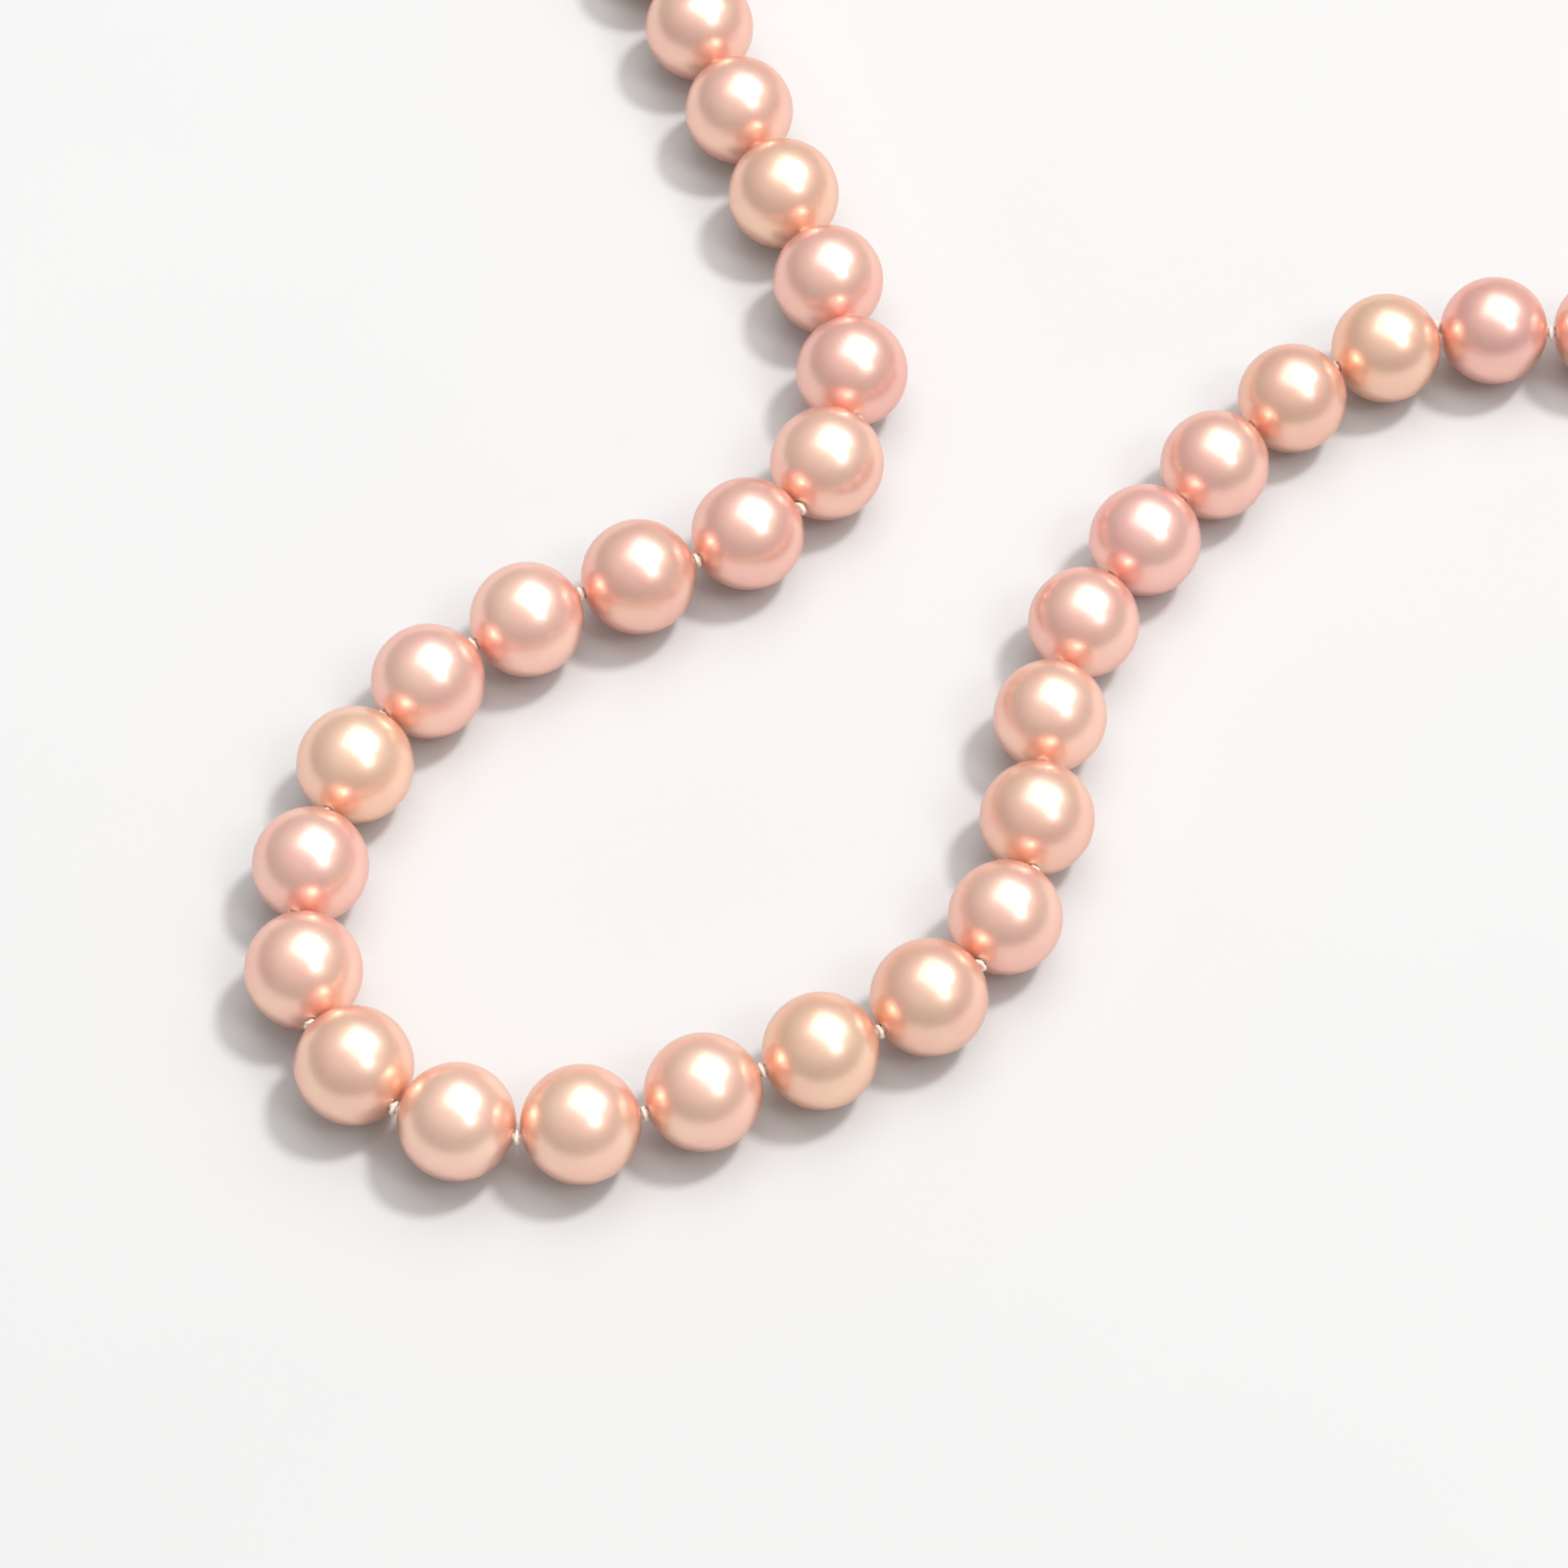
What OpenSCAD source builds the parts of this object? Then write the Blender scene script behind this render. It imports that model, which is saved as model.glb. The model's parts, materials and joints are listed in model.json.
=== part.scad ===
// Knotted pearl necklace, laid unfastened on a table top.
// One silk thread runs through every pearl, with a knot between each pair.
// The thread ends in a wire-covered loop at each end: one holds a sprung
// claw clasp, the other a flat ring that the claw hooks into.
// Units are millimetres. +Z is up, z = 0 is the table top, and the origin
// is under the middle of the strand's outline.

/* [Pearls] */

// How many pearls are strung
pearl_count = 45; // [41:1:47]
// Average pearl diameter
pearl_d = 9.15; // [7:0.05:12]
// How much the diameter swells and shrinks along the strand
pearl_wave = 0.15; // [0:0.05:0.5]
// How much one pearl differs from its neighbours
pearl_scatter = 0.08; // [0:0.02:0.3]
// Diameter of the drilled hole
hole_d = 0.9; // [0.7:0.05:1.4]

/* [Thread] */

// Diameter of the silk thread
thread_d = 0.6; // [0.4:0.05:0.8]
// Bare thread between two pearls, filled by the knot
knot_gap = 0.55; // [0.4:0.05:1.2]

/* [Clasp] */

// Wire diameter of the jump rings
ring_wire_d = 0.8; // [0.6:0.05:1]
// Middle diameter of the jump rings, from wire centre to wire centre
ring_mid_d = 4.2; // [4:0.1:6]
// Outside diameter of the wire cover on each thread loop
cover_d = 0.76; // [0.7:0.02:1]
// Inside diameter of the flat catch ring
catch_hole_d = 4; // [3.6:0.1:6]
// Thickness of the flat catch ring
catch_t = 0.8; // [0.6:0.05:1.2]
// Middle diameter of the claw's hook
hook_mid_d = 6; // [5.4:0.1:8]
// Thickness of the claw where the lever is pinned
claw_t = 3; // [2.8:0.1:4]
// Pivot pin diameter
pin_d = 0.7; // [0.6:0.05:0.9]

/* [Hidden] */

$fn = 48;
middle = ceil(pearl_count / 2);   // the pearl that the others hang from

// Diameter of pearl i, and the thread length it takes up with its knot
function dia(i) = pearl_d + pearl_wave * cos(360 * (i - 13) / 48)
    + pearl_scatter * sin(137.5 * i);
function pitch(i) = dia(i) + knot_gap;

// How the strand is laid: points on its path, for a 9.7 mm pitch
lay = [
    [42, 97.5], [34, 102.5], [25.5, 107.5], [17, 112], [7.5, 114],
    [-2, 112.5], [-9.5, 106.5], [-13, 97.5], [-12.5, 88], [-9, 79],
    [-5.5, 69.5], [-2, 60.5], [2, 51.5], [5.5, 42], [6, 33],
    [2, 24.5], [-6, 19], [-15.5, 15.5], [-24.5, 10.5], [-32, 3],
    [-36, -6], [-38, -15.5], [-36, -25], [-29.5, -32], [-20, -34.5],
    [-10.5, -32.5], [-2, -29], [7, -25.5], [15, -19.5], [19.5, -10.5],
    [20.5, -1], [22, 8.5], [26.5, 17], [32.5, 24.5], [38.5, 32],
    [46, 38], [54.5, 42], [64, 41.5], [73.5, 42], [82, 47.5],
    [88, 55.5], [91, 65], [90.5, 74.5], [87, 83.5], [80.5, 91],
    [72, 95.5], [62.5, 97.5], [53, 98]
];
lay_start = 23;                   // the point where the middle pearl begins
lay_scale = (pearl_d + knot_gap) / 9.7;

// A smooth curve through the points, straight on past either end
function lay_at(k) = lay[max(0, min(len(lay) - 1, k))];
function bend(a, b, c, d, u) = 0.5 * (2 * b + (c - a) * u
    + (2 * a - 5 * b + 4 * c - d) * u * u + (3 * b - a - 3 * c + d) * u * u * u);
function path(t) =
    let (last = len(lay) - 1)
    lay_scale * (
        t <= 0 ? lay[0] + t * (lay[1] - lay[0])
        : t >= last ? lay[last] + (t - last) * (lay[last] - lay[last - 1])
        : let (k = floor(t))
            bend(lay_at(k - 1), lay_at(k), lay_at(k + 1), lay_at(k + 2), t - k));

// Where on the path the thread is one pitch further on, found by halving
function ahead(t, reach, lo, hi, n = 26) =
    n == 0 ? (lo + hi) / 2
    : let (m = (lo + hi) / 2)
        norm(path(m) - path(t)) < reach ? ahead(t, reach, m, hi, n - 1)
        : ahead(t, reach, lo, m, n - 1);

// Path positions of the knots, outwards from the middle pearl
up = [for (i = middle, t = lay_start; i <= pearl_count + 1;
        t = ahead(t, pitch(i), t, t + 3), i = i + 1) t];
down = [for (i = middle - 1, t = lay_start; i >= 0;
        t = ahead(t, pitch(i), t, t - 3), i = i - 1) t];
// Knot k lies between pearl k and pearl k + 1; 0 and the last are the ends
stops = concat([for (j = [len(down) - 1 : -1 : 1]) down[j]], up);
raw = [for (t = stops) path(t)];

// Centre the strand's outline on the origin
function rim(i, axis, side) = (raw[i - 1][axis] + raw[i][axis]) / 2 + side * dia(i) / 2;
low = [for (a = [0, 1]) min([for (i = [1 : pearl_count]) rim(i, a, -1)])];
high = [for (a = [0, 1]) max([for (i = [1 : pearl_count]) rim(i, a, 1)])];
knots = [for (p = raw) p - (low + high) / 2];

function middle_of(i) = let (m = (knots[i - 1] + knots[i]) / 2) [m.x, m.y, dia(i) / 2];
function heading(i) = let (v = knots[i] - knots[i - 1]) atan2(v.y, v.x);
function knot_at(k) = [knots[k].x, knots[k].y, (dia(k) + dia(k + 1)) / 4];

// The knot fills the gap and stops just short of the rims of both holes
knot_r = norm([knot_gap / 2, hole_d / 2]) - 0.05;

// Clasp ends. Each is drawn along +X from the end pearl's hole, on z = 0
end_z = [dia(1) / 2, dia(pearl_count) / 2];
ring_r = ring_mid_d / 2;
wire_r = ring_wire_d / 2;
cover_r = cover_d / 2;
// Each thread loop leans down to pass under its jump ring's top. It leans
// further, then grows, where a larger pearl lifts the hole it comes from.
loop_slack = 0.5;                 // room left under the ring's top wire
loop_drop = max(end_z) - (ring_mid_d - cover_r - loop_slack);
cover_loop_r = max(1.3, loop_drop / (2 * sin(60)));
cover_tilt = max(30, asin(loop_drop / (2 * cover_loop_r)));
cover_x = 0.25;                   // where the loop's two ends leave the hole
ring_z = ring_r + wire_r;         // the jump ring stands on the table
far_x = cover_x + 2 * cover_loop_r * cos(cover_tilt);
ring_x = far_x + 0.65;
link_x = ring_x + 0.6;            // where the next piece hangs in the ring
eye_r = 1.3;
eye_wire_r = 0.4;
claw_z = claw_t / 2;
hook_r = hook_mid_d / 2;
hook_wire_r = 1.05;
hook_x = link_x + eye_r + 2.8 + hook_r;
pin_at = [hook_x - hook_r * cos(32), -hook_r * sin(32)];
cheek_r = 1.35;
tip_turn = 45;                    // how far the hook's thin tip curls past its side
tip_r = 0.75;
slot_t = 1.6;
slot_gap = 0.1;                   // how far the slot is cut past the cheeks' edge
lever_t = 1;
lever_z = claw_z - 0.2;
lever_r = 0.45;
lever_end_r = 0.52;               // the rounded end, a little wider than the lever
// The lever's end rests just inside the hook's tip
lever_end = [hook_x + (hook_r - tip_r - lever_end_r - 0.06) * cos(tip_turn) - 0.1,
    -(hook_r - tip_r - lever_end_r - 0.06) * sin(tip_turn)];
tab_at = pin_at + [0.9, -1.2];
catch_w = 0.8;
catch_mid_r = catch_hole_d / 2 + catch_w / 2;
catch_link_z = 1.65;
catch_tilt = asin((catch_link_z - catch_t / 2 - 0.1) / (2 * catch_mid_r));

gold = [0.86, 0.68, 0.36];
silk = [0.95, 0.91, 0.86];
// Body colours run from champagne through peach to rose along the strand
function lustre(i) = let (w = sin(97 * i), v = cos(61 * i))
    [0.93 + 0.02 * w, 0.77 + 0.03 * v, 0.72 + 0.03 * w - 0.02 * v];

function two(i) = str(i < 10 ? "0" : "", i);
function pearl_name(i) = str("pearl_", two(i));

// ---- shared shapes ----

// A round bar between two points
module bar(a, b, r) {
    v = b - a;
    translate(a)
        rotate([0, acos(v.z / norm(v)), atan2(v.y, v.x)])
            cylinder(r = r, h = norm(v));
}

// A wire bent to a ring, or to part of one, flat in XY
module wire_ring(ring, wire, turn = 360) {
    rotate_extrude(angle = turn) translate([ring, 0]) circle(r = wire);
}

// Move a clasp end from +X to one end of the strand: e is 0 or 1
module at_end(e) {
    k = e == 0 ? 0 : pearl_count;
    translate([knots[k].x, knots[k].y, 0])
        rotate([0, 0, e == 0 ? heading(1) + 180 : heading(pearl_count)])
            translate([-knot_gap / 2, 0, 0]) children();
}

// The tilted frame that each thread loop lies in, its near end at the hole
module in_loop(e) {
    translate([cover_x, 0, end_z[e]]) rotate([0, cover_tilt, 0])
        translate([cover_loop_r, 0, 0]) children();
}

// ---- pieces ----

// One pearl, drilled through along the thread
module pearl(i) {
    color(lustre(i))
        translate(middle_of(i)) rotate([0, 90, heading(i)])
            difference() {
                sphere(d = dia(i));
                cylinder(d = hole_d, h = dia(i) + 2, center = true);
            }
}

// The whole thread: straight through each pearl, knotted in each gap, with
// a thinner loop past each end pearl
module silk_thread() {
    color(silk) union() {
        for (i = [1 : pearl_count])
            translate(middle_of(i)) rotate([0, 90, heading(i)])
                cylinder(d = thread_d, h = dia(i) + knot_gap / 2, center = true);
        for (k = [1 : pearl_count - 1])
            translate(knot_at(k)) rotate([0, 90, (heading(k) + heading(k + 1)) / 2])
                sphere(r = knot_r);
        for (e = [0, 1]) at_end(e) {
            translate([cover_x, 0, end_z[e]]) sphere(r = thread_d / 2 + 0.04);
            in_loop(e) wire_ring(cover_loop_r, cover_r / 2);
        }
    }
}

// The fine wire cover that a thread loop runs inside, open at the pearl
module wire_cover(e) {
    color(gold) at_end(e)
        in_loop(e) rotate([0, 0, 180 + 28]) difference() {
            wire_ring(cover_loop_r, cover_r, 304);
            rotate([0, 0, -1]) wire_ring(cover_loop_r, cover_r / 2 + 0.06, 306);
        }
}

// A split ring of round wire, standing up and linked through a loop
module jump_ring(e) {
    color(gold) at_end(e)
        translate([ring_x, 0, ring_z]) rotate([90, 0, 0]) difference() {
            wire_ring(ring_r, wire_r);
            rotate([0, 0, 70]) translate([ring_r, 0, 0])
                cube([2 * ring_wire_d, 0.06, 2 * ring_wire_d], center = true);
        }
}

// The claw: an eye, a neck, a C-shaped hook, and two cheeks for the pin
module clasp_claw() {
    color(gold) at_end(0) difference() {
        union() {
            translate([link_x + eye_r, 0, claw_z]) wire_ring(eye_r, eye_wire_r);
            bar([link_x + 2 * eye_r + 0.1, 0, claw_z],
                [hook_x - hook_r, 0, claw_z], 0.9);
            translate([hook_x, 0, claw_z]) wire_ring(hook_r, hook_wire_r, 180);
            translate([hook_x + hook_r, 0, claw_z]) sphere(r = hook_wire_r + 0.04);
            translate([hook_x, 0, claw_z]) rotate([0, 0, -tip_turn])
                wire_ring(hook_r, tip_r, tip_turn);
            translate([hook_x + hook_r * cos(tip_turn), -hook_r * sin(tip_turn), claw_z])
                sphere(r = tip_r + 0.04);
            translate([hook_x - hook_r, 0, claw_z]) sphere(r = 1.2);
            translate([pin_at.x, pin_at.y, 0]) cylinder(r = cheek_r, h = claw_t);
        }
        // slot for the lever, right through between the cheeks
        translate([pin_at.x, pin_at.y, claw_z - slot_t / 2])
            cylinder(r = cheek_r + slot_gap, h = slot_t);
        // pin hole
        translate([pin_at.x, pin_at.y, -1]) cylinder(d = pin_d, h = claw_t + 2);
    }
}

// The lever that shuts the hook, turning on the pivot pin
module clasp_lever() {
    color(gold) at_end(0) difference() {
        union() {
            translate([pin_at.x, pin_at.y, lever_z - lever_t / 2])
                cylinder(r = 0.95, h = lever_t);
            bar([pin_at.x, pin_at.y, lever_z], [lever_end.x, lever_end.y, lever_z], lever_r);
            translate([lever_end.x, lever_end.y, lever_z]) sphere(r = lever_end_r);
            // thumb tab
            bar([pin_at.x, pin_at.y, lever_z], [tab_at.x, tab_at.y, lever_z], 0.4);
            translate([tab_at.x, tab_at.y, lever_z]) sphere(r = 0.55);
        }
        translate([pin_at.x, pin_at.y, -1]) cylinder(d = pin_d + 0.1, h = claw_t + 2);
    }
}

// The pin through both cheeks
module clasp_pivot_pin() {
    color(gold) at_end(0)
        translate([pin_at.x, pin_at.y, 0.05]) cylinder(d = pin_d - 0.01, h = claw_t - 0.1);
}

// Two turns of spring wire round the pin, one leg on the lever
module clasp_spring() {
    color([0.8, 0.78, 0.72]) at_end(0)
        translate([pin_at.x, pin_at.y, lever_z + lever_t / 2 + 0.11]) {
            wire_ring(0.6, 0.09);
            translate([0, 0, 0.17]) wire_ring(0.6, 0.09);
            bar([0.6, 0, 0], [0.92, 0, 0], 0.08);
        }
}

// The flat ring at the other end, tilted where it sits over the jump ring
module catch_ring() {
    h = catch_t / 2;
    c = 0.15;
    r = catch_hole_d / 2;
    w = catch_w;
    color(gold) at_end(1)
        translate([link_x - 0.1, 0, catch_link_z]) rotate([0, catch_tilt, 0])
            translate([catch_mid_r, 0, 0])
                rotate_extrude()
                    polygon([[r, -h + c], [r + c, -h], [r + w - c, -h], [r + w, -h + c],
                        [r + w, h - c], [r + w - c, h], [r + c, h], [r, h - c]]);
}

for (i = [1 : pearl_count])
    pearl(i);
silk_thread();
wire_cover(0);  // clasp_end_wire_cover
wire_cover(1);  // ring_end_wire_cover
jump_ring(0);  // clasp_jump_ring
clasp_claw();
clasp_lever();
clasp_pivot_pin();
clasp_spring();
jump_ring(1);  // catch_jump_ring
catch_ring();
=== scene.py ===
import json
import math
import random

import bpy
import numpy as np
from bpy.props import FloatProperty, FloatVectorProperty, IntProperty, PointerProperty
from mathutils import Matrix, Vector


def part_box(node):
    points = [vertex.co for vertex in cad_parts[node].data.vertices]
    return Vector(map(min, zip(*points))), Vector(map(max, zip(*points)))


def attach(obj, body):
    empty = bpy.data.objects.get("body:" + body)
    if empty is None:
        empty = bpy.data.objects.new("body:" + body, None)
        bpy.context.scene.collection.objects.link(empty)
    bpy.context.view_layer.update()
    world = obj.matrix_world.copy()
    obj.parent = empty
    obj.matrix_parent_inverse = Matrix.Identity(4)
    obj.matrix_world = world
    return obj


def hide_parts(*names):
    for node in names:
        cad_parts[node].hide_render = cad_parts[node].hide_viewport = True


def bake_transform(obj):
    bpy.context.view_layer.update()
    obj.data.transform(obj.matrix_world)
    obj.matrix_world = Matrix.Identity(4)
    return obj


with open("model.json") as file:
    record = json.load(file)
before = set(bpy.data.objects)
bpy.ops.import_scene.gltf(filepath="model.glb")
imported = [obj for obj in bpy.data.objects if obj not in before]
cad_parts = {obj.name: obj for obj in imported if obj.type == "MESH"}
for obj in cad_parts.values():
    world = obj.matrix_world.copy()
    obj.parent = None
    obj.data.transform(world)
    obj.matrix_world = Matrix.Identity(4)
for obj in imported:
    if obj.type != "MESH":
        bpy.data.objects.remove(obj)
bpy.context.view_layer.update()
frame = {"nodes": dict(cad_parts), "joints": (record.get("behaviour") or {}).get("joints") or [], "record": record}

bl_info = {
    "name": "Knotted Pearl Necklace",
    "version": (1, 0, 0),
    "blender": (4, 5, 0),
    "location": "3D View > Sidebar > Necklace",
    "description": "Nacre, silk knots and a gold clasp around a jointed pearl strand",
    "category": "Object",
}

# The strand as packed: bodies, joints and boxes, all in metres
JOINTS = {j["name"]: j for j in frame["joints"]}
BODY_OF = {node: body for body, nodes in frame["record"]["behaviour"]["bodies"].items()
           for node in nodes}
PEARLS = sum(name.startswith("pearl_") for name in frame["nodes"])
MM = 0.001
UP = np.array([0.0, 0.0, 1.0])

# How rosy and how deep each pearl is, from the clasp end to the ring end, 0 to 9
ROSINESS = "563748525" "5278576671753434136447973" "19547364525"
DEPTH = "454545445" "4557357122334022575635468" "68454544545"
MIDDLE_DEPTH = 4.5                  # the depth that leaves the colour as it is
DEPTH_SHARE = 0.22                  # how much the whole range of depths darkens
DEPTH_BY_CHANNEL = (0.5, 1, 1.2)    # red darkens least

# Camera: it stands in front of the strand, over the table
LENS_MM, SENSOR_MM = 128.7, 36
LOOK_AT_MM = (-26.74, -39.94, 0)
CAMERA_RISE_DEG = 57.7
CAMERA_REACH_MM = 447.4

# Lights: the ways point from the strand to the light
KEY_WAY, KEY_SPREAD_DEG = (0.41, 0.22, 0.89), 9
SIDE_WAY, SIDE_SPREAD_DEG = (0.50, -0.32, 0.81), 16
BOX_WAY, BOX_SIZE, BOX_REACH = (0.15, 0.24, 0.96), 0.66, 0.6
SUN_REACH = 1.0
ROOM_TINT = (1.0, 0.99, 0.98, 1)
# Map ranges, from low and high to low and high
ROOM_BY_HEIGHT = (0.3, 0.95, 0.75, 1.35)
ROOM_BY_CAMERA = (0.75, 0.98, 1.0, 0.95)
CAMERA_SIDE = (0, -0.73, 0.68)

# Threads, as shares of their radius or in metres
PLIES = 2
CORE_SHARE = 0.92                   # thread inside the pearls, slimmer than its setting
CORE_LAY = 1.6                      # and twisted more slowly
PLY_DEPTH, KNOT_PLY_DEPTH = 0.1, 0.14
KNOT_STRAND = 0.185 * MM            # radius of the strand that a knot is tied from
KNOT_SQUEEZE = 0.27 * MM            # how far a knot may reach along the thread
KNOT_SHIFT = 0.32 * MM              # out of the closed side of a full bend
BLEND_REACH = 0.5 * MM              # each side of the knot

# End loops, in metres: each hangs from its pearl's rim and leans down to the table
LOOP_RADIUS, LOOP_START, LOOP_THREAD = 1.3 * MM, 0.25 * MM, 0.19 * MM
LOOP_LEAN_DEG = 30
COVER_RADIUS = 0.38 * MM            # outside of the coiled cover
COVER_OPEN_DEG = 28                 # half of the gap in the cover, at the pearl

# Clasp, in metres
RING_WIRE = 0.39 * MM               # radius of the jump rings' wire
RING_INSET = 0.4 * MM               # from the ring's outside to the middle of its wire


# ---- where things are ----

def two(i):
    return f"{i:02d}"


def unit(v):
    return np.asarray(v, float) / np.linalg.norm(v)


def pearl_ball(i):
    """Centre and radius of pearl i."""
    low, high = (np.array(v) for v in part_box("pearl_" + two(i)))
    return (low + high) / 2, float(high[2] - low[2]) / 2


def knot_point(k):
    """Where the thread is knotted between pearl k and pearl k + 1."""
    return np.array(JOINTS["knot_" + two(k)]["pos_m"])


def thread_way(i):
    """The direction in which the thread runs through pearl i."""
    centre, _ = pearl_ball(i)
    if i == 1:
        way = knot_point(1) - centre
    elif i == PEARLS:
        way = centre - knot_point(i - 1)
    else:
        way = knot_point(i) - knot_point(i - 1)
    way[2] = 0
    return unit(way)


def end_place(end):
    """Frame of a clasp end: the hole's rim on the table plane, and the way out of it."""
    i = 1 if end == "clasp" else PEARLS
    centre, radius = pearl_ball(i)
    out = -thread_way(i) if end == "clasp" else thread_way(i)
    rim = centre + out * radius
    return rim, out, np.cross(UP, out)


# ---- meshes ----

def new_piece(name, points, faces, material):
    mesh = bpy.data.meshes.new(name)
    mesh.from_pydata([tuple(p) for p in points], [], faces)
    mesh.validate()
    mesh.polygons.foreach_set("use_smooth", [True] * len(mesh.polygons))
    mesh.materials.append(material)
    mesh.update()
    piece = bpy.data.objects.new(name, mesh)
    bpy.context.scene.collection.objects.link(piece)
    return piece


def grid_faces(rows, turns, first=0, around=False):
    """Quads over rows of points that each close on themselves."""
    faces = []
    for r in range(rows if around else rows - 1):
        a, b = first + r * turns, first + ((r + 1) % rows) * turns
        for t in range(turns):
            u = (t + 1) % turns
            faces.append((a + t, a + u, b + u, b + t))
    return faces


def frames_along(path, closed=False):
    """Tangent and two cross directions at each point, turned as little as possible."""
    path = np.asarray(path, float)
    if closed:
        ways = np.roll(path, -1, 0) - np.roll(path, 1, 0)
    else:
        ways = np.gradient(path, axis=0)
    ways /= np.linalg.norm(ways, axis=1)[:, None]
    side = np.cross(ways[0], UP if abs(ways[0][2]) < 0.9 else [1.0, 0, 0])
    sides = []
    for way in ways:
        side = unit(side - way * (side @ way))
        sides.append(side)
    sides = np.array(sides)
    return ways, sides, np.cross(ways, sides)


class Strand:
    """Swept tubes gathered into one mesh."""

    def __init__(self):
        self.points, self.faces = [], []

    def sweep(self, path, radius, sides=10, plies=0, lay=0.0, ply_depth=0.0,
              closed=False, squash=None):
        """A tube along path. Plies twist one turn in each length lay."""
        path = np.asarray(path, float)
        ways, across, over = frames_along(path, closed)
        radii = np.broadcast_to(np.asarray(radius, float), (len(path),))
        steps = np.linalg.norm(np.diff(path, axis=0), axis=1)
        runs = np.concatenate([[0], np.cumsum(steps)])
        first = len(self.points)
        angles = np.linspace(0, 2 * math.pi, sides, endpoint=False)
        for n, middle in enumerate(path):
            turn = 2 * math.pi * runs[n] / lay if lay else 0.0
            swell = 1 + ply_depth * (np.cos(plies * (angles - turn)) if plies else 0)
            ring = middle + (np.outer(np.cos(angles) * swell, across[n])
                             + np.outer(np.sin(angles) * swell, over[n])) * radii[n]
            if squash is not None:
                ring = squash(ring)
            self.points.extend(ring)
        self.faces += grid_faces(len(path), sides, first, closed)
        if not closed:
            self.faces.append(tuple(first + t for t in reversed(range(sides))))
            last = first + (len(path) - 1) * sides
            self.faces.append(tuple(last + t for t in range(sides)))

    def piece(self, name, material):
        return new_piece(name, self.points, self.faces, material)


# ---- materials ----

class Recipe:
    """A node material written as short calls."""

    def __init__(self, name):
        self.material = bpy.data.materials.new(name)
        self.material.use_nodes = True
        self.tree = self.material.node_tree
        self.shader = self.tree.nodes["Principled BSDF"]

    def set(self, **values):
        for name, value in values.items():
            self.shader.inputs[name.replace("_", " ").title().replace("Ior", "IOR")
                               ].default_value = value

    def add(self, kind, settings=None, **links):
        node = self.tree.nodes.new(kind)
        for name, value in (settings or {}).items():
            setattr(node, name, value)
        for name, value in links.items():
            socket = node.inputs[int(name[1:])] if name[0] == "_" else node.inputs[
                name.replace("_", " ")]
            if isinstance(value, bpy.types.NodeSocket):
                self.tree.links.new(value, socket)
            else:
                socket.default_value = value
        return node

    def link(self, output, name):
        self.tree.links.new(output, self.shader.inputs[name])

    def place(self):
        return self.add("ShaderNodeTexCoord").outputs["Object"]

    def noise(self, size, detail=2.0, roughness=0.5, stretch=(1, 1, 1)):
        """Noise whose blobs are about size metres across."""
        spread = self.add("ShaderNodeMapping", _0=self.place(), Scale=stretch)
        made = self.add("ShaderNodeTexNoise", Vector=spread.outputs[0], Scale=1 / size,
                        Detail=detail, Roughness=roughness)
        return made.outputs["Fac"]

    def ramp(self, value, low, high, out_low=0.0, out_high=1.0):
        made = self.add("ShaderNodeMapRange", _0=value, _1=low, _2=high, _3=out_low, _4=out_high)
        return made.outputs[0]

    def blend(self, share, one, other):
        made = self.add("ShaderNodeMix", {"data_type": "RGBA"}, _0=share, _6=one, _7=other)
        return made.outputs[2]

    def bump(self, height, strength, distance):
        made = self.add("ShaderNodeBump", Height=height, Strength=strength, Distance=distance)
        return made.outputs["Normal"]


def nacre(settings):
    """Pearl body: a tint from the mesh, cloudy overtone, a satin body under a clear gloss."""
    r = Recipe("nacre")
    r.set(metallic=settings.lustre, IOR=1.6, coat_weight=settings.gloss,
          coat_roughness=0.3, coat_IOR=1.9, specular_tint=(0.65, 0.25, 0.15, 1))
    tint = r.add("ShaderNodeAttribute", {"attribute_name": "body_tint"}).outputs["Color"]
    cloud = r.ramp(r.noise(3.2 * MM, 2.0, 0.45), 0.38, 0.66)
    veil = r.ramp(r.noise(0.7 * MM, 4.0, 0.6), 0.3, 0.75, 0.0, 1.0)
    rosy = r.blend(0.22, tint, (0.98, 0.48, 0.5, 1))
    pale = r.blend(0.18, tint, (1.0, 0.8, 0.62, 1))
    body = r.blend(cloud, rosy, pale)
    body = r.blend(veil, body, r.blend(0.06, body, (1, 0.9, 0.8, 1)))
    r.link(body, "Base Color")
    r.link(r.ramp(veil, 0, 1, settings.satin - 0.02, settings.satin + 0.025), "Roughness")
    return r.material


def silk(settings):
    """Twisted silk: off-white, matt, with fine filaments."""
    r = Recipe("silk")
    r.set(sheen_weight=0.5, sheen_roughness=0.4, IOR=1.5)
    fibre = r.noise(0.05 * MM, 3.0, 0.6, (1, 1, 0.35))
    shade = r.noise(0.5 * MM, 2.0)
    pale = tuple(settings.colour) + (1,)
    deep = tuple(c * f for c, f in zip(settings.colour, (0.86, 0.8, 0.72))) + (1,)
    body = r.blend(r.ramp(shade, 0.35, 0.65), pale, deep)
    r.link(r.blend(r.ramp(fibre, 0.3, 0.7, 0, 0.5), body, deep), "Base Color")
    r.link(r.ramp(fibre, 0.3, 0.7, 0.55, 0.8), "Roughness")
    r.link(r.bump(fibre, 0.5, 0.02 * MM), "Normal")
    return r.material


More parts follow.
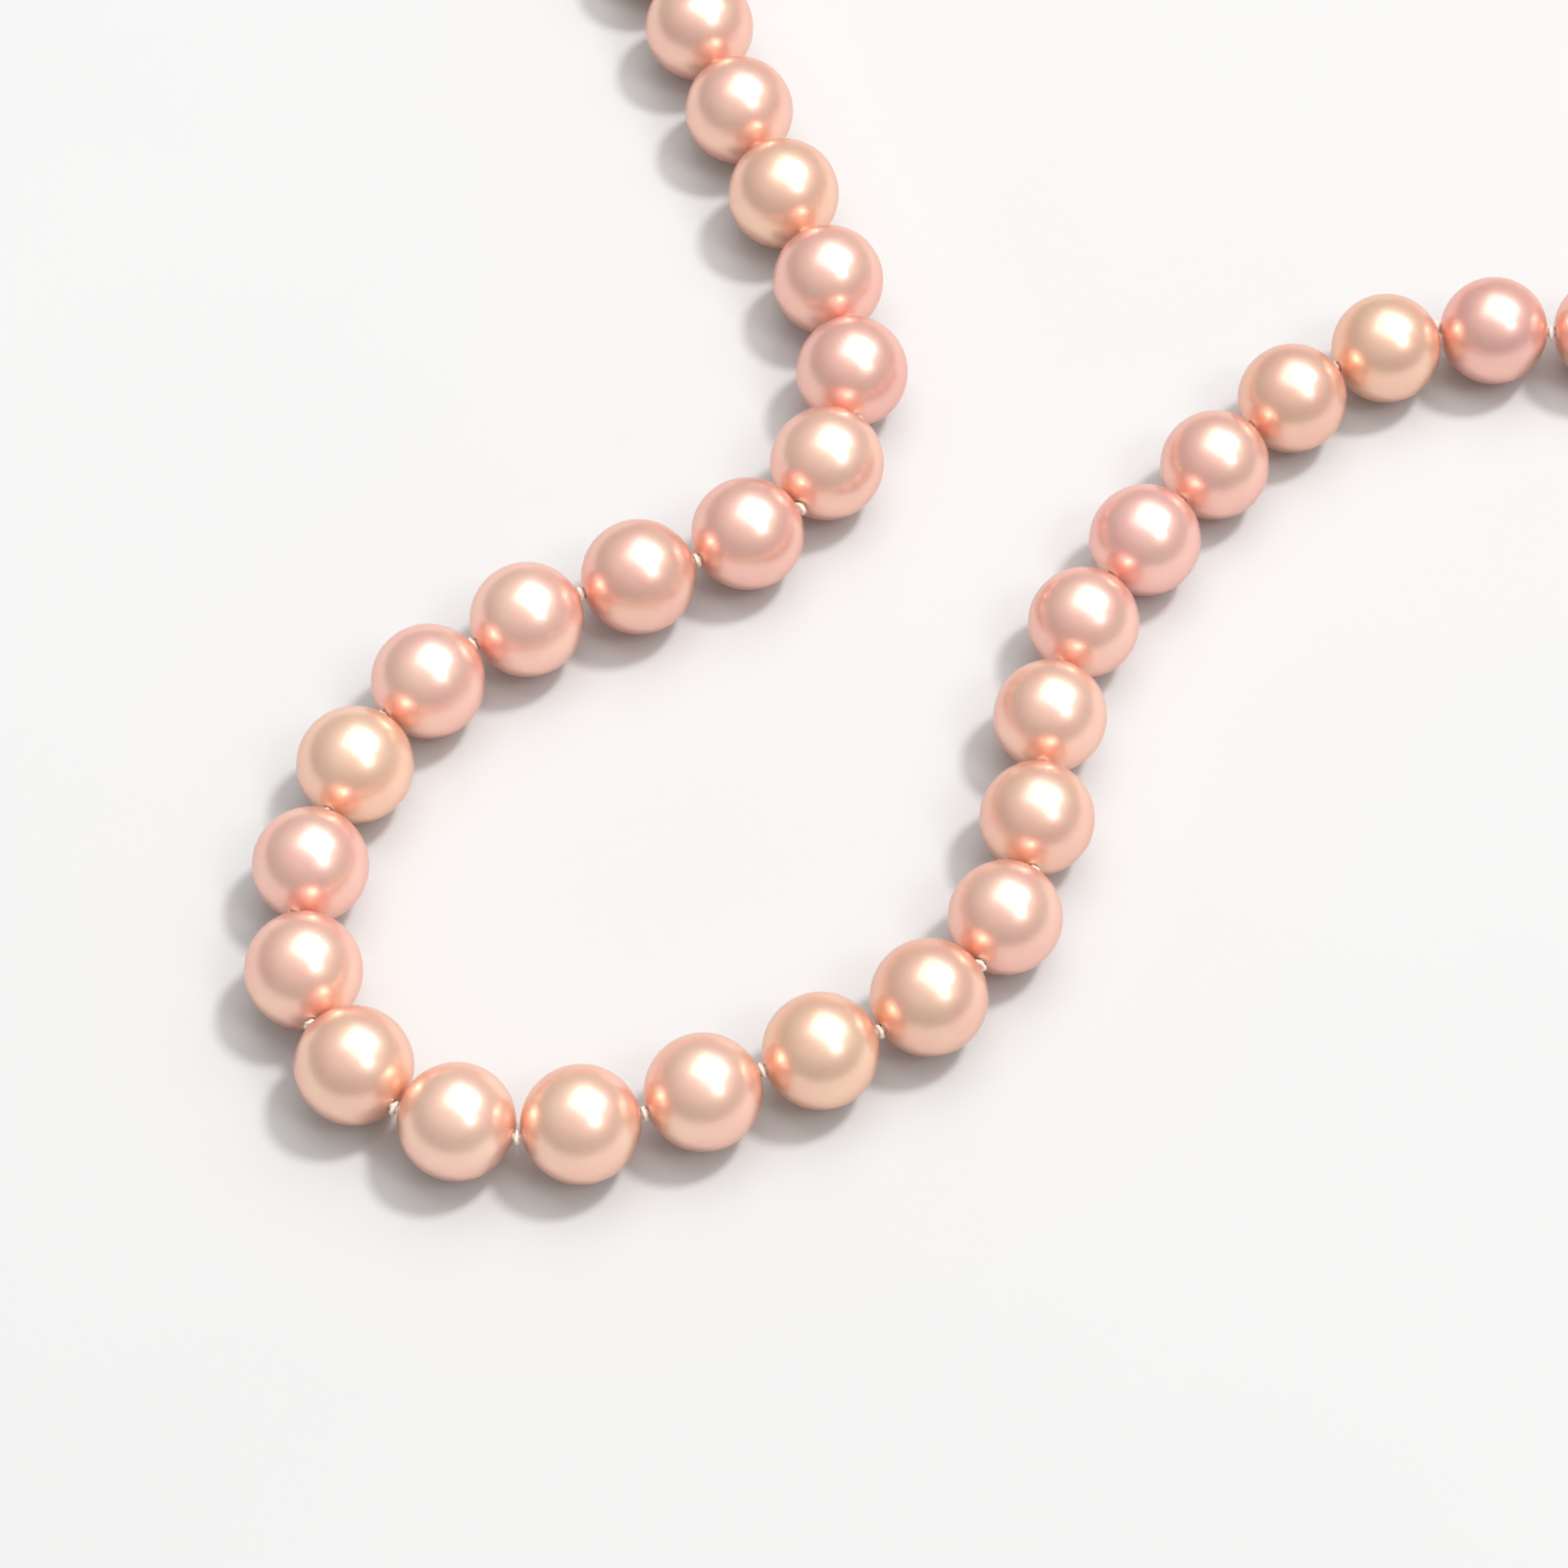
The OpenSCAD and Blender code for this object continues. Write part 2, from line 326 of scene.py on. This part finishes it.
def gold(settings, name="gold", colour=None, rough=0.16):
    """Polished metal with a little handling wear."""
    r = Recipe(name)
    r.set(metallic=1.0)
    colour = tuple(colour or settings.colour) + (1,)
    dull = tuple(c * 0.86 for c in colour[:3]) + (1,)
    smear = r.noise(1.4 * MM, 3.0)
    scratch = r.noise(0.12 * MM, 3.0, 0.7, (1, 0.12, 1))
    r.link(r.blend(r.ramp(smear, 0.35, 0.7), colour, dull), "Base Color")
    fine = r.ramp(scratch, 0.35, 0.7, 0, settings.wear * 0.12)
    r.link(r.add("ShaderNodeMath", {"operation": "ADD"},
                 _0=r.ramp(smear, 0.3, 0.7, rough, rough + 0.08), _1=fine).outputs[0],
           "Roughness")
    r.link(r.bump(scratch, 0.12 * settings.wear, 0.01 * MM), "Normal")
    return r.material


def table_top():
    r = Recipe("table_top")
    r.set(IOR=1.3)
    grain = r.noise(40 * MM, 2.0)
    tone = r.blend(r.ramp(grain, 0.3, 0.7), (0.60, 0.60, 0.60, 1), (0.611, 0.61, 0.609, 1))
    r.link(tone, "Base Color")
    r.link(r.ramp(grain, 0.3, 0.7, 0.85, 0.95), "Roughness")
    return r.material


# ---- settings ----

class PearlSettings(bpy.types.PropertyGroup):
    hole: FloatProperty(
        name="Drilled hole", description="Diameter of the hole through each pearl",
        default=0.9 * MM, min=0.5 * MM, max=1.5 * MM, unit="LENGTH", subtype="DISTANCE")
    off_round: FloatProperty(
        name="Off-round", description="How far a pearl strays from a true ball",
        default=0.03 * MM, min=0, max=0.1 * MM, unit="LENGTH", subtype="DISTANCE")
    dimples: IntProperty(
        name="Dimples", description="Most growth dimples on one pearl", default=3, min=0, max=8)
    lustre: FloatProperty(
        name="Lustre", description="Share of the nacre that mirrors in the body colour",
        default=0.65, min=0, max=1, subtype="FACTOR")
    satin: FloatProperty(
        name="Satin", description="Roughness of the nacre under its gloss",
        default=0.3, min=0.05, max=0.8, subtype="FACTOR")
    gloss: FloatProperty(
        name="Gloss", description="Weight of the clear gloss on top",
        default=1.0, min=0, max=1, subtype="FACTOR")
    champagne: FloatVectorProperty(
        name="Champagne", description="Body colour of the palest pearls",
        default=(0.97, 0.63, 0.40), min=0, max=1, subtype="COLOR")
    rose: FloatVectorProperty(
        name="Rose", description="Body colour of the rosiest pearls",
        default=(0.97, 0.53, 0.45), min=0, max=1, subtype="COLOR")


class SilkSettings(bpy.types.PropertyGroup):
    thread: FloatProperty(
        name="Thread", description="Diameter of the silk thread",
        default=0.6 * MM, min=0.3 * MM, max=0.8 * MM, unit="LENGTH", subtype="DISTANCE")
    knot: FloatProperty(
        name="Knot", description="How wide a knot is across the thread",
        default=1.2 * MM, min=0.8 * MM, max=1.6 * MM, unit="LENGTH", subtype="DISTANCE")
    twist: FloatProperty(
        name="Twist", description="Length in which the plies turn once",
        default=0.9 * MM, min=0.4 * MM, max=3 * MM, unit="LENGTH", subtype="DISTANCE")
    colour: FloatVectorProperty(
        name="Silk", description="Colour of the thread",
        default=(0.93, 0.87, 0.79), min=0, max=1, subtype="COLOR")


class MetalSettings(bpy.types.PropertyGroup):
    colour: FloatVectorProperty(
        name="Metal", description="Colour of the clasp",
        default=(0.89, 0.66, 0.34), min=0, max=1, subtype="COLOR")
    wire: FloatProperty(
        name="Cover wire", description="Thickness of the wire coiled over each end loop",
        default=0.13 * MM, min=0.08 * MM, max=0.2 * MM, unit="LENGTH", subtype="DISTANCE")
    wear: FloatProperty(
        name="Wear", description="How scratched the metal is",
        default=0.6, min=0, max=1, subtype="FACTOR")


class StageSettings(bpy.types.PropertyGroup):
    floor: FloatProperty(
        name="Floor", description="Radius of the table top",
        default=4.0, min=0.5, max=20, unit="LENGTH", subtype="DISTANCE")
    key: FloatProperty(
        name="Key light", description="Strength of the light that casts the shadows",
        default=1.65, min=0, max=10)
    side: FloatProperty(
        name="Side light", description="Strength of the softer light from the front right",
        default=0.4, min=0, max=10)
    soft: FloatProperty(
        name="Soft light", description="Strength of the soft box overhead",
        default=1.6, min=0, max=10)
    room: FloatProperty(
        name="Room", description="Brightness of the room around the table",
        default=0.52, min=0, max=2)


def all_settings():
    """The four property groups, in the order of the panel."""
    scene = bpy.context.scene
    return (scene.necklace_pearls, scene.necklace_silk, scene.necklace_metal,
            scene.necklace_stage)


# ---- operators ----

class NECKLACE_OT_stage(bpy.types.Operator):
    """Camera, table top and soft studio light"""
    bl_idname = "necklace.stage"
    bl_label = "Set the stage"

    def execute(self, context):
        _, _, _, stage = all_settings()
        scene = context.scene
        scene.view_settings.view_transform = "Standard"

        camera = bpy.data.objects.new("camera", bpy.data.cameras.new("camera"))
        scene.collection.objects.link(camera)
        camera.data.lens, camera.data.sensor_width = LENS_MM, SENSOR_MM
        camera.data.clip_start, camera.data.clip_end = 0.01, 20
        look_at = Vector(LOOK_AT_MM) * MM
        rise = math.radians(CAMERA_RISE_DEG)
        back = Vector((0, -math.cos(rise), math.sin(rise)))
        camera.location = look_at + back * CAMERA_REACH_MM * MM
        camera.rotation_mode = "QUATERNION"
        camera.rotation_quaternion = (-back).to_track_quat("-Z", "Y")
        scene.camera = camera

        turns = 96
        rings = [0.0, 0.05, 0.2, 0.6, 1.0]
        points, faces = [(0, 0, 0)], []
        for share in rings[1:]:
            for t in range(turns):
                a = 2 * math.pi * t / turns
                points.append((share * stage.floor * math.cos(a),
                               share * stage.floor * math.sin(a), 0))
        faces += [(0, 1 + t, 1 + (t + 1) % turns) for t in range(turns)]
        for r in range(len(rings) - 2):
            a, b = 1 + r * turns, 1 + (r + 1) * turns
            faces += [(a + t, b + t, b + (t + 1) % turns, a + (t + 1) % turns)
                      for t in range(turns)]
        new_piece("table_top", points, faces, table_top())

        for name, strength, spread, way in (
                ("key", stage.key, KEY_SPREAD_DEG, KEY_WAY),
                ("side", stage.side, SIDE_SPREAD_DEG, SIDE_WAY)):
            lamp = bpy.data.lights.new(name, "SUN")
            lamp.energy, lamp.angle = strength, math.radians(spread)
            self.hang(scene, lamp, way, SUN_REACH)
        soft = bpy.data.lights.new("soft_box", "AREA")
        soft.shape, soft.size, soft.size_y = "RECTANGLE", BOX_SIZE, BOX_SIZE
        soft.energy = stage.soft * soft.size * soft.size_y * math.pi
        self.hang(scene, soft, BOX_WAY, BOX_REACH)

        world = bpy.data.worlds.new("room")
        world.use_nodes = True
        tree = world.node_tree
        way = tree.nodes.new("ShaderNodeTexCoord").outputs["Generated"]
        split = tree.nodes.new("ShaderNodeSeparateXYZ")
        tree.links.new(way, split.inputs[0])
        rise = tree.nodes.new("ShaderNodeMapRange")
        rise.interpolation_type = "SMOOTHSTEP"
        tree.links.new(split.outputs["Z"], rise.inputs[0])
        for n, value in enumerate(ROOM_BY_HEIGHT, 1):
            rise.inputs[n].default_value = value
        strength = tree.nodes.new("ShaderNodeMath")
        strength.operation = "MULTIPLY"
        tree.links.new(rise.outputs[0], strength.inputs[0])
        strength.inputs[1].default_value = stage.room
        # the side that the camera stands on is a little dimmer
        toward = tree.nodes.new("ShaderNodeVectorMath")
        toward.operation = "DOT_PRODUCT"
        tree.links.new(way, toward.inputs[0])
        toward.inputs[1].default_value = CAMERA_SIDE
        dim = tree.nodes.new("ShaderNodeMapRange")
        dim.interpolation_type = "SMOOTHSTEP"
        tree.links.new(toward.outputs["Value"], dim.inputs[0])
        for n, value in enumerate(ROOM_BY_CAMERA, 1):
            dim.inputs[n].default_value = value
        shaded = tree.nodes.new("ShaderNodeMath")
        shaded.operation = "MULTIPLY"
        tree.links.new(strength.outputs[0], shaded.inputs[0])
        tree.links.new(dim.outputs[0], shaded.inputs[1])
        ground = tree.nodes["Background"]
        ground.inputs["Color"].default_value = ROOM_TINT
        tree.links.new(shaded.outputs[0], ground.inputs["Strength"])
        scene.world = world
        return {"FINISHED"}

    @staticmethod
    def hang(scene, light, way, reach):
        lamp = bpy.data.objects.new(light.name, light)
        scene.collection.objects.link(lamp)
        way = Vector(way).normalized()
        lamp.location = way * reach
        lamp.rotation_mode = "QUATERNION"
        lamp.rotation_quaternion = way.to_track_quat("Z", "Y")


class NECKLACE_OT_pearls(bpy.types.Operator):
    """Every pearl: nearly round, drilled, dimpled, and tinted from champagne to rose"""
    bl_idname = "necklace.pearls"
    bl_label = "Grow the pearls"

    def execute(self, context):
        pearls, _, _, _ = all_settings()
        material = nacre(pearls)
        for i in range(1, PEARLS + 1):
            self.grow(i, pearls, material)
        return {"FINISHED"}

    def grow(self, i, pearls, material):
        draw = random.Random(1000 + i)
        centre, radius = pearl_ball(i)
        along = thread_way(i)
        across = np.cross(UP, along)
        turns, rows, rim = 72, 58, 0.035 * MM
        hole = pearls.hole / 2
        start = math.asin((hole + rim) / radius)
        swing = np.linspace(start, math.pi - start, rows)
        spin = np.linspace(0, 2 * math.pi, turns, endpoint=False)
        ways = np.array([[math.cos(a), math.sin(a) * math.cos(s), math.sin(a) * math.sin(s)]
                         for a in swing for s in spin])
        ways = ways @ np.array([along, across, UP])
        sink = self.unevenness(ways, pearls, draw)
        points = list(centre + ways * (radius - sink)[:, None])
        faces = grid_faces(rows, turns)
        # the rim eases into the hole, and the hole's wall runs back to the first rim
        half = radius * math.cos(start)
        wall = [(-half, hole + rim * 0.4), (-half + rim, hole), (-half * 0.5, hole),
                (half * 0.5, hole), (half - rim, hole), (half, hole + rim * 0.4)]
        for x, r in wall:
            for s in spin:
                points.append(centre + along * x
                              + (across * math.cos(s) + UP * math.sin(s)) * r)
        faces += grid_faces(rows + len(wall), turns, 0, True)[(rows - 1) * turns:]
        piece = new_piece("pearl_" + two(i) + "_nacre", points, faces, material)
        # rest on the table again
        low = min(p[2] for p in points)
        piece.data.transform(Matrix.Translation((0, 0, -low)))
        tint = self.tint(i, pearls)
        layer = piece.data.attributes.new("body_tint", "FLOAT_COLOR", "POINT")
        layer.data.foreach_set("color", list(tint) * len(points))
        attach(piece, BODY_OF["pearl_" + two(i)])
        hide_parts("pearl_" + two(i))

    @staticmethod
    def tint(i, pearls):
        """Body colour between champagne and rose, darkened more in its greens and blues."""
        rosy = int(ROSINESS[i - 1]) / 9
        deep = (int(DEPTH[i - 1]) - MIDDLE_DEPTH) / 9
        colour = [a + (b - a) * rosy for a, b in zip(pearls.champagne, pearls.rose)]
        return [max(0.0, c * (1 - DEPTH_SHARE * deep * w))
                for c, w in zip(colour, DEPTH_BY_CHANNEL)] + [1]

    @staticmethod
    def unevenness(ways, pearls, draw):
        """How far below the true ball the surface lies in each direction, in metres."""
        def any_way():
            return unit([draw.gauss(0, 1) for _ in range(3)])
        sink = np.zeros(len(ways))
        oval, pear = any_way(), any_way()
        sink += pearls.off_round * draw.uniform(0.3, 1.0) * (ways @ oval) ** 2
        lean = ways @ pear
        sink += pearls.off_round * draw.uniform(0.1, 0.4) * (1 + lean ** 3) / 2
        for _ in range(draw.randint(0, pearls.dimples)):
            spot, width = any_way(), math.radians(draw.uniform(3.5, 8))
            depth = draw.uniform(0.006, 0.02) * MM
            far = np.arccos(np.clip(ways @ spot, -1, 1)) / width
            sink += depth * np.exp(-far ** 2)
        return sink


class NECKLACE_OT_knots(bpy.types.Operator):
    """The silk: a knot between each pair of pearls, and thread through every hole"""
    bl_idname = "necklace.knots"
    bl_label = "Tie the knots"

    def execute(self, context):
        _, thread, _, _ = all_settings()
        material = silk(thread)
        for k in range(1, PEARLS):
            self.tie(k, thread, material)
        return {"FINISHED"}

    def tie(self, k, thread, material):
        draw = random.Random(2000 + k)
        here = knot_point(k)
        before, after = thread_way(k), thread_way(k + 1)
        along = unit(before + after)
        left = np.cross(UP, along)
        bend = float(np.cross(before, after)[2])
        # in a bend the knot is squeezed out of the closed side
        here = here - left * bend * KNOT_SHIFT
        half = thread.thread / 2
        knot = Strand()
        first, last = pearl_ball(k)[0], pearl_ball(k + 1)[0]
        rows = 15
        path = [first + (here - first) * s for s in np.linspace(0, 1, rows)[:-1]]
        path += [here + (last - here) * s for s in np.linspace(0, 1, rows)]
        knot.sweep(path, half * CORE_SHARE, 10, plies=PLIES, lay=thread.twist * CORE_LAY,
                   ply_depth=PLY_DEPTH)

        ring = thread.knot / 2 - KNOT_STRAND
        tilt = draw.uniform(-0.35, 0.35)
        turn0 = draw.uniform(0, 2 * math.pi)
        hand = 1 if draw.random() < 0.8 else -1

        def spot(x, angle, r):
            out = left * math.cos(angle) + UP * math.sin(angle)
            return here + along * (x + tilt * 0.05 * MM * math.cos(angle * 2)) + out * r

        def flatten(points):
            x = (points - here) @ along
            kept = KNOT_SQUEEZE * np.tanh(x / KNOT_SQUEEZE)
            return points + np.outer(kept - x, along)

        # two wraps round the thread, then a strand that crosses over them
        wraps = [spot(0.1 * MM * (2 * s - 1), turn0 + hand * s * 3.6 * math.pi,
                      ring * (0.55 + 0.45 * math.sin(math.pi * min(1, 0.12 + s * 0.9)) ** 0.5))
                 for s in np.linspace(0, 1, 44)]
        knot.sweep(wraps, KNOT_STRAND, 10, plies=PLIES, lay=thread.twist,
                   ply_depth=KNOT_PLY_DEPTH, squash=flatten)
        across = [spot(0.17 * MM * math.cos(math.pi * s),
                       turn0 + 0.9 * math.pi + hand * (s - 0.5) * 2.0,
                       ring * 0.5 + (ring * 0.72) * math.sin(math.pi * s))
                  for s in np.linspace(0, 1, 22)]
        knot.sweep(across, KNOT_STRAND * 0.86, 10, plies=PLIES, lay=thread.twist,
                   ply_depth=KNOT_PLY_DEPTH, squash=flatten)
        # a few loose filaments
        for _ in range(draw.choice([0, 1, 1, 2, 3])):
            a, reach = draw.uniform(0, 2 * math.pi), draw.uniform(0.3, 0.8) * MM
            out = left * math.cos(a) + UP * math.sin(a)
            curl = np.cross(out, along) * draw.uniform(-0.5, 0.5) + along * draw.uniform(-0.1, 0.1)
            base = here + out * ring
            hair = [base + out * reach * s + (curl * s * s - UP * 0.4 * s ** 2) * reach
                    for s in np.linspace(0, 1, 8)]
            knot.sweep(hair, np.linspace(0.022, 0.008, 8) * MM, 5)
        piece = knot.piece("silk_knot_" + two(k), material)
        a, b = BODY_OF["pearl_" + two(k)], BODY_OF["pearl_" + two(k + 1)]
        reach = along * BLEND_REACH
        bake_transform(piece)
        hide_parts("silk_thread")


class NECKLACE_OT_end_loops(bpy.types.Operator):
    """The two end loops: thread inside a fine coiled wire cover"""
    bl_idname = "necklace.end_loops"
    bl_label = "Cover the end loops"

    def execute(self, context):
        _, thread, metal, _ = all_settings()
        cloth, wire = silk(thread), gold(metal, "cover_wire", rough=0.2)
        for end, body_node, cover in (("clasp", "pearl_01", "clasp_end_wire_cover"),
                                      ("ring", "pearl_" + two(PEARLS), "ring_end_wire_cover")):
            self.cover(end, BODY_OF[body_node], cover, thread, metal, cloth, wire)
        return {"FINISHED"}

    def cover(self, end, body, node, thread, metal, cloth, wire):
        rim, out, side = end_place(end)
        loop, lean, start = LOOP_RADIUS, math.radians(LOOP_LEAN_DEG), LOOP_START
        down = out * math.cos(lean) - UP * math.sin(lean)
        middle = rim + out * start + down * loop

        def on_loop(angle, r=loop, lift=0.0):
            over = np.cross(down, side)
            return middle + (down * math.cos(angle) + side * math.sin(angle)) * r + over * lift

        silk_loop = Strand()
        centre = pearl_ball(1 if end == "clasp" else PEARLS)[0]
        silk_loop.sweep([centre + (rim + out * start - centre) * s for s in np.linspace(0, 1, 12)],
                        thread.thread / 2 * CORE_SHARE, 10, plies=PLIES,
                        lay=thread.twist * CORE_LAY, ply_depth=PLY_DEPTH)
        angles = np.linspace(-math.pi, math.pi, 72, endpoint=False)
        silk_loop.sweep([on_loop(a) for a in angles], LOOP_THREAD, 10, plies=PLIES,
                        lay=thread.twist, ply_depth=PLY_DEPTH, closed=True)
        piece = silk_loop.piece("silk_loop_" + end, cloth)
        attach(piece, body)
        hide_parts("silk_thread")

        # the cover: one wire wound close round the loop, open at the pearl
        open_half = math.radians(COVER_OPEN_DEG)
        half_wire = metal.wire / 2
        coil_r = COVER_RADIUS - half_wire
        length = (2 * math.pi - 2 * open_half) * loop
        winds = int(length / (metal.wire * 1.08))
        coil = Strand()
        steps = winds * 12
        path = []
        for n in range(steps + 1):
            s = n / steps
            a = -math.pi + open_half + (2 * math.pi - 2 * open_half) * s
            w = 2 * math.pi * winds * s
            path.append(on_loop(a, loop + coil_r * math.cos(w), coil_r * math.sin(w)))
        coil.sweep(path, half_wire, 6)
        cover = coil.piece("wire_cover_" + end, wire)
        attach(cover, body)
        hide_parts(node)


class NECKLACE_OT_clasp(bpy.types.Operator):
    """Jump rings, claw, lever, pin, spring and catch ring"""
    bl_idname = "necklace.clasp"
    bl_label = "Make the clasp"

    def execute(self, context):
        _, _, metal, _ = all_settings()
        bright = gold(metal)
        steel = gold(metal, "spring_steel", (0.62, 0.6, 0.57), 0.3)
        for end, node in (("clasp", "clasp_jump_ring"), ("ring", "catch_jump_ring")):
            self.jump_ring(end, node, bright)
        for node in ("clasp_claw", "clasp_lever", "clasp_pivot_pin", "catch_ring"):
            shown = frame["nodes"][node]
            shown.data.materials.clear()
            shown.data.materials.append(bright)
        self.spring(steel)
        return {"FINISHED"}

    def jump_ring(self, end, node, material):
        _, out, _ = end_place(end)
        low, high = (np.array(v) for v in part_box(node))
        ring = (high[2] - low[2]) / 2 - RING_INSET
        middle = (low + high) / 2
        split = math.radians(70)
        gap = 0.03 * MM / ring
        made = Strand()
        steps = 120
        path, radii = [], []
        for n in range(steps + 1):
            a = split + gap + (2 * math.pi - 2 * gap) * n / steps
            path.append(middle + (out * math.cos(a) + UP * math.sin(a)) * ring)
            edge = min(n, steps - n)
            radii.append(RING_WIRE * (0.86 if edge == 0 else 0.97 if edge == 1 else 1.0))
        made.sweep(path, radii, 28)
        piece = made.piece("jump_ring_" + end, material)
        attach(piece, BODY_OF[node])
        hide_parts(node)

    def spring(self, material):
        low, high = (np.array(v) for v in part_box("clasp_spring"))
        pin_low, pin_high = (np.array(v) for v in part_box("clasp_pivot_pin"))
        pin = (pin_low + pin_high) / 2
        wire, coil_r = 0.08 * MM, 0.6 * MM
        winds, steps = 2, 32
        path = []
        for n in range(winds * steps + 1):
            a = 2 * math.pi * n / steps
            z = low[2] + wire + (high[2] - low[2] - 2 * wire) * n / (winds * steps)
            path.append(np.array([pin[0] + coil_r * math.cos(a), pin[1] + coil_r * math.sin(a), z]))
        path.append(path[-1] + np.array([0.3 * MM, 0.0, 0.0]))
        made = Strand()
        made.sweep(path, wire, 8)
        piece = made.piece("lever_spring", material)
        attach(piece, BODY_OF["clasp_spring"])
        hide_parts("clasp_spring")


class NECKLACE_PT_panel(bpy.types.Panel):
    """Lists the necklace's steps and sizes"""
    bl_idname = "NECKLACE_PT_panel"
    bl_label = "Pearl Necklace"
    bl_space_type = "VIEW_3D"
    bl_region_type = "UI"
    bl_category = "Necklace"

    def draw(self, context):
        for step in STEPS:
            self.layout.operator(step.bl_idname)
        for group in all_settings():
            box = self.layout.box()
            for name in group.__annotations__:
                box.prop(group, name)


STEPS = (NECKLACE_OT_stage, NECKLACE_OT_pearls, NECKLACE_OT_knots, NECKLACE_OT_end_loops,
         NECKLACE_OT_clasp)
GROUPS = {"necklace_pearls": PearlSettings, "necklace_silk": SilkSettings,
          "necklace_metal": MetalSettings, "necklace_stage": StageSettings}


def register():
    for kind in (*GROUPS.values(), *STEPS, NECKLACE_PT_panel):
        bpy.utils.register_class(kind)
    for name, group in GROUPS.items():
        setattr(bpy.types.Scene, name, PointerProperty(type=group))


def unregister():
    for name in GROUPS:
        delattr(bpy.types.Scene, name)
    for kind in reversed((*GROUPS.values(), *STEPS, NECKLACE_PT_panel)):
        bpy.utils.unregister_class(kind)


def main():
    register()
    bpy.ops.necklace.stage()
    bpy.ops.necklace.pearls()
    bpy.ops.necklace.knots()
    bpy.ops.necklace.end_loops()
    bpy.ops.necklace.clasp()


if __name__ == "__main__":
    main()
